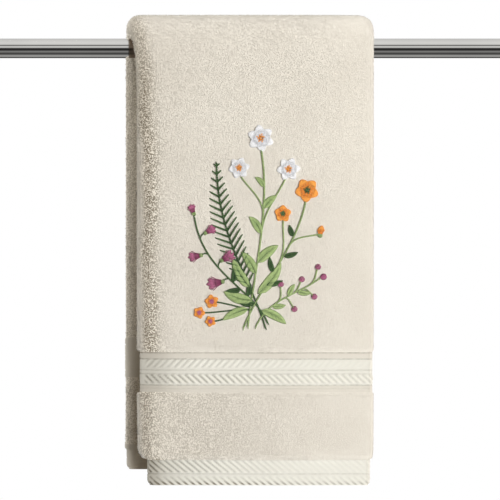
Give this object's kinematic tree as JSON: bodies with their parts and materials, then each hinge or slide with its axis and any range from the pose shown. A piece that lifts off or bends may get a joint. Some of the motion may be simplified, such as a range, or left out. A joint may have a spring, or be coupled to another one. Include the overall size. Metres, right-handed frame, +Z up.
{
  "type": "hand towel on towel bar",
  "caption": "Thick terry hand towel with ribbed woven borders and hems, folded behind at both sides and hung over a plain round towel bar.",
  "frame": {"origin": "centre of the bar's left end face, as seen from the front", "axes": "+X along the bar, -Y out of the towel's front, +Z up"},
  "size_m": [0.61, 0.0556, 0.3833],
  "materials": {
    "bar_chrome": "polished",
    "towel_terry": "looped terry pile with flat ribbed borders"
  },
  "bodies": {
    "root": {"bar": "bar_chrome", "towel": "towel_terry"}
  },
  "joints": []
}
